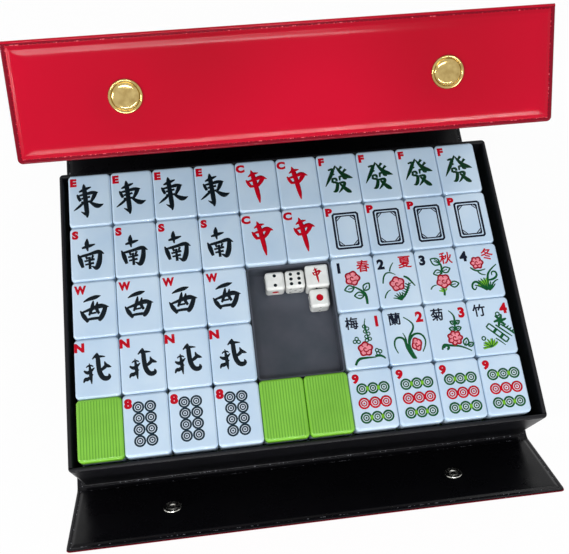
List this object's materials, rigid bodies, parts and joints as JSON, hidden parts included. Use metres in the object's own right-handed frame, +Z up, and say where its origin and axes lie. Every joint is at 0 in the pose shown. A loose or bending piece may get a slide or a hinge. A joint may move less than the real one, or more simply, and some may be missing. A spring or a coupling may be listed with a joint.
{
  "type": "mahjong case",
  "caption": "Folding snap-closed case with an open tray of stacked game tiles, a dice tray, dice and a hinged cover.",
  "frame": {"origin": "centre of the tray, on the table under the bottom panel", "axes": "+X to the player's right, +Y away from the player towards the hinged back, +Z up"},
  "size_m": [0.2402, 0.2437, 0.1612],
  "materials": {
    "red_vinyl": "gloss",
    "black_vinyl": "satin",
    "board": "matte",
    "tray_black": "satin",
    "tile_white": "gloss",
    "tile_green": "gloss",
    "dice_tray_grey": "satin",
    "dice_white": "gloss",
    "cap_brass": "polished",
    "snap_steel": "satin"
  },
  "bodies": {
    "tray_base": {"bottom_panel_board": "board", "bottom_panel_inner_skin": "black_vinyl", "bottom_panel_outer_skin": "red_vinyl", "front_crease": "black_vinyl", "back_crease": "black_vinyl", "tray_floor": "tray_black", "tray_back_wall": "tray_black", "tray_front_wall": "tray_black", "tray_left_wall": "tray_black", "tray_right_wall": "tray_black"},
    "back_panel": {"back_panel_board": "board", "back_panel_inner_skin": "black_vinyl", "back_panel_outer_skin": "red_vinyl", "spine_crease": "black_vinyl"},
    "spine": {"spine_strip": "black_vinyl"},
    "lid": {"lid_board": "board", "lid_inner_skin": "black_vinyl", "lid_outer_skin": "red_vinyl", "lid_crease": "black_vinyl", "snap_crease": "red_vinyl"},
    "snap_flap": {"snap_flap_board": "board", "snap_flap_inner_skin": "black_vinyl", "snap_flap_outer_skin": "red_vinyl", "snap_caps": "cap_brass", "snap_sockets": "snap_steel"},
    "front_flap": {"front_flap_board": "board", "front_flap_inner_skin": "black_vinyl", "front_flap_outer_skin": "red_vinyl", "snap_studs": "snap_steel", "snap_posts": "snap_steel"},
    "lower_layer": {"lower_layer_faces": "tile_white", "lower_layer_backs": "tile_green"},
    "middle_layer": {"middle_layer_faces": "tile_white", "middle_layer_backs": "tile_green"},
    "top_layer": {"east_tiles": "tile_white", "south_tiles": "tile_white", "west_tiles": "tile_white", "north_tiles": "tile_white", "red_dragon_tiles": "tile_white", "green_dragon_tiles": "tile_white", "white_dragon_tiles": "tile_white", "season_tiles": "tile_white", "flower_tiles": "tile_white", "eight_circle_tiles": "tile_white", "nine_circle_tiles": "tile_white", "rear_tile_backs": "tile_green", "left_tile_backs": "tile_green", "right_tile_backs": "tile_green", "front_tile_backs": "tile_green", "face_down_tile_faces": "tile_white", "face_down_tile_backs": "tile_green"},
    "dice_tray": {"dice_tray": "dice_tray_grey"},
    "die_two": {"die_two": "dice_white"},
    "die_six": {"die_six": "dice_white"},
    "die_one": {"die_one": "dice_white"},
    "wind_die": {"wind_die": "dice_white"}
  },
  "joints": [
    {"name": "back_hinge", "type": "hinge", "parent": "tray_base", "child": "back_panel", "pos_m": [0, 0.0794, 0.001], "axis": [1, 0, 0], "range_deg": [0, 90]},
    {"name": "spine_hinge", "type": "hinge", "parent": "back_panel", "child": "spine", "pos_m": [0, 0.12761, 0.001], "axis": [1, 0, 0], "range_deg": [-46.5, 0]},
    {"name": "lid_hinge", "type": "hinge", "parent": "spine", "child": "lid", "pos_m": [0, 0.13018, 0.00406], "axis": [1, 0, 0], "range_deg": [-106.5, 30]},
    {"name": "snap_flap_hinge", "type": "hinge", "parent": "lid", "child": "snap_flap", "pos_m": [0, 0.08378, 0.16069], "axis": [-1, 0, 0], "range_deg": [-15, 113.5]},
    {"name": "front_flap_hinge", "type": "hinge", "parent": "tray_base", "child": "front_flap", "pos_m": [0, -0.0802, 0.001], "axis": [-1, 0, 0], "range_deg": [-50, 40]},
    {"name": "lower_layer_lift", "type": "slide", "parent": "tray_base", "child": "lower_layer", "axis": [0, 0, -1], "range_m": [-0.05, 0]},
    {"name": "middle_layer_lift", "type": "slide", "parent": "lower_layer", "child": "middle_layer", "axis": [0, 0, -1], "range_m": [-0.05, 0]},
    {"name": "top_layer_lift", "type": "slide", "parent": "middle_layer", "child": "top_layer", "axis": [0, 0, -1], "range_m": [-0.05, 0]},
    {"name": "dice_tray_lift", "type": "slide", "parent": "middle_layer", "child": "dice_tray", "axis": [0, 0, -1], "range_m": [-0.05, 0]},
    {"name": "die_two_lift", "type": "slide", "parent": "dice_tray", "child": "die_two", "axis": [0, 0, -1], "range_m": [-0.04, 0]},
    {"name": "die_six_lift", "type": "slide", "parent": "dice_tray", "child": "die_six", "axis": [0, 0, -1], "range_m": [-0.04, 0]},
    {"name": "die_one_lift", "type": "slide", "parent": "dice_tray", "child": "die_one", "axis": [0, 0, -1], "range_m": [-0.04, 0]},
    {"name": "wind_die_lift", "type": "slide", "parent": "dice_tray", "child": "wind_die", "axis": [0, 0, -1], "range_m": [-0.04, 0]}
  ],
  "couplings": [
    {"joint": "spine_hinge", "follows": "back_hinge", "ratio": -0.51667}
  ]
}
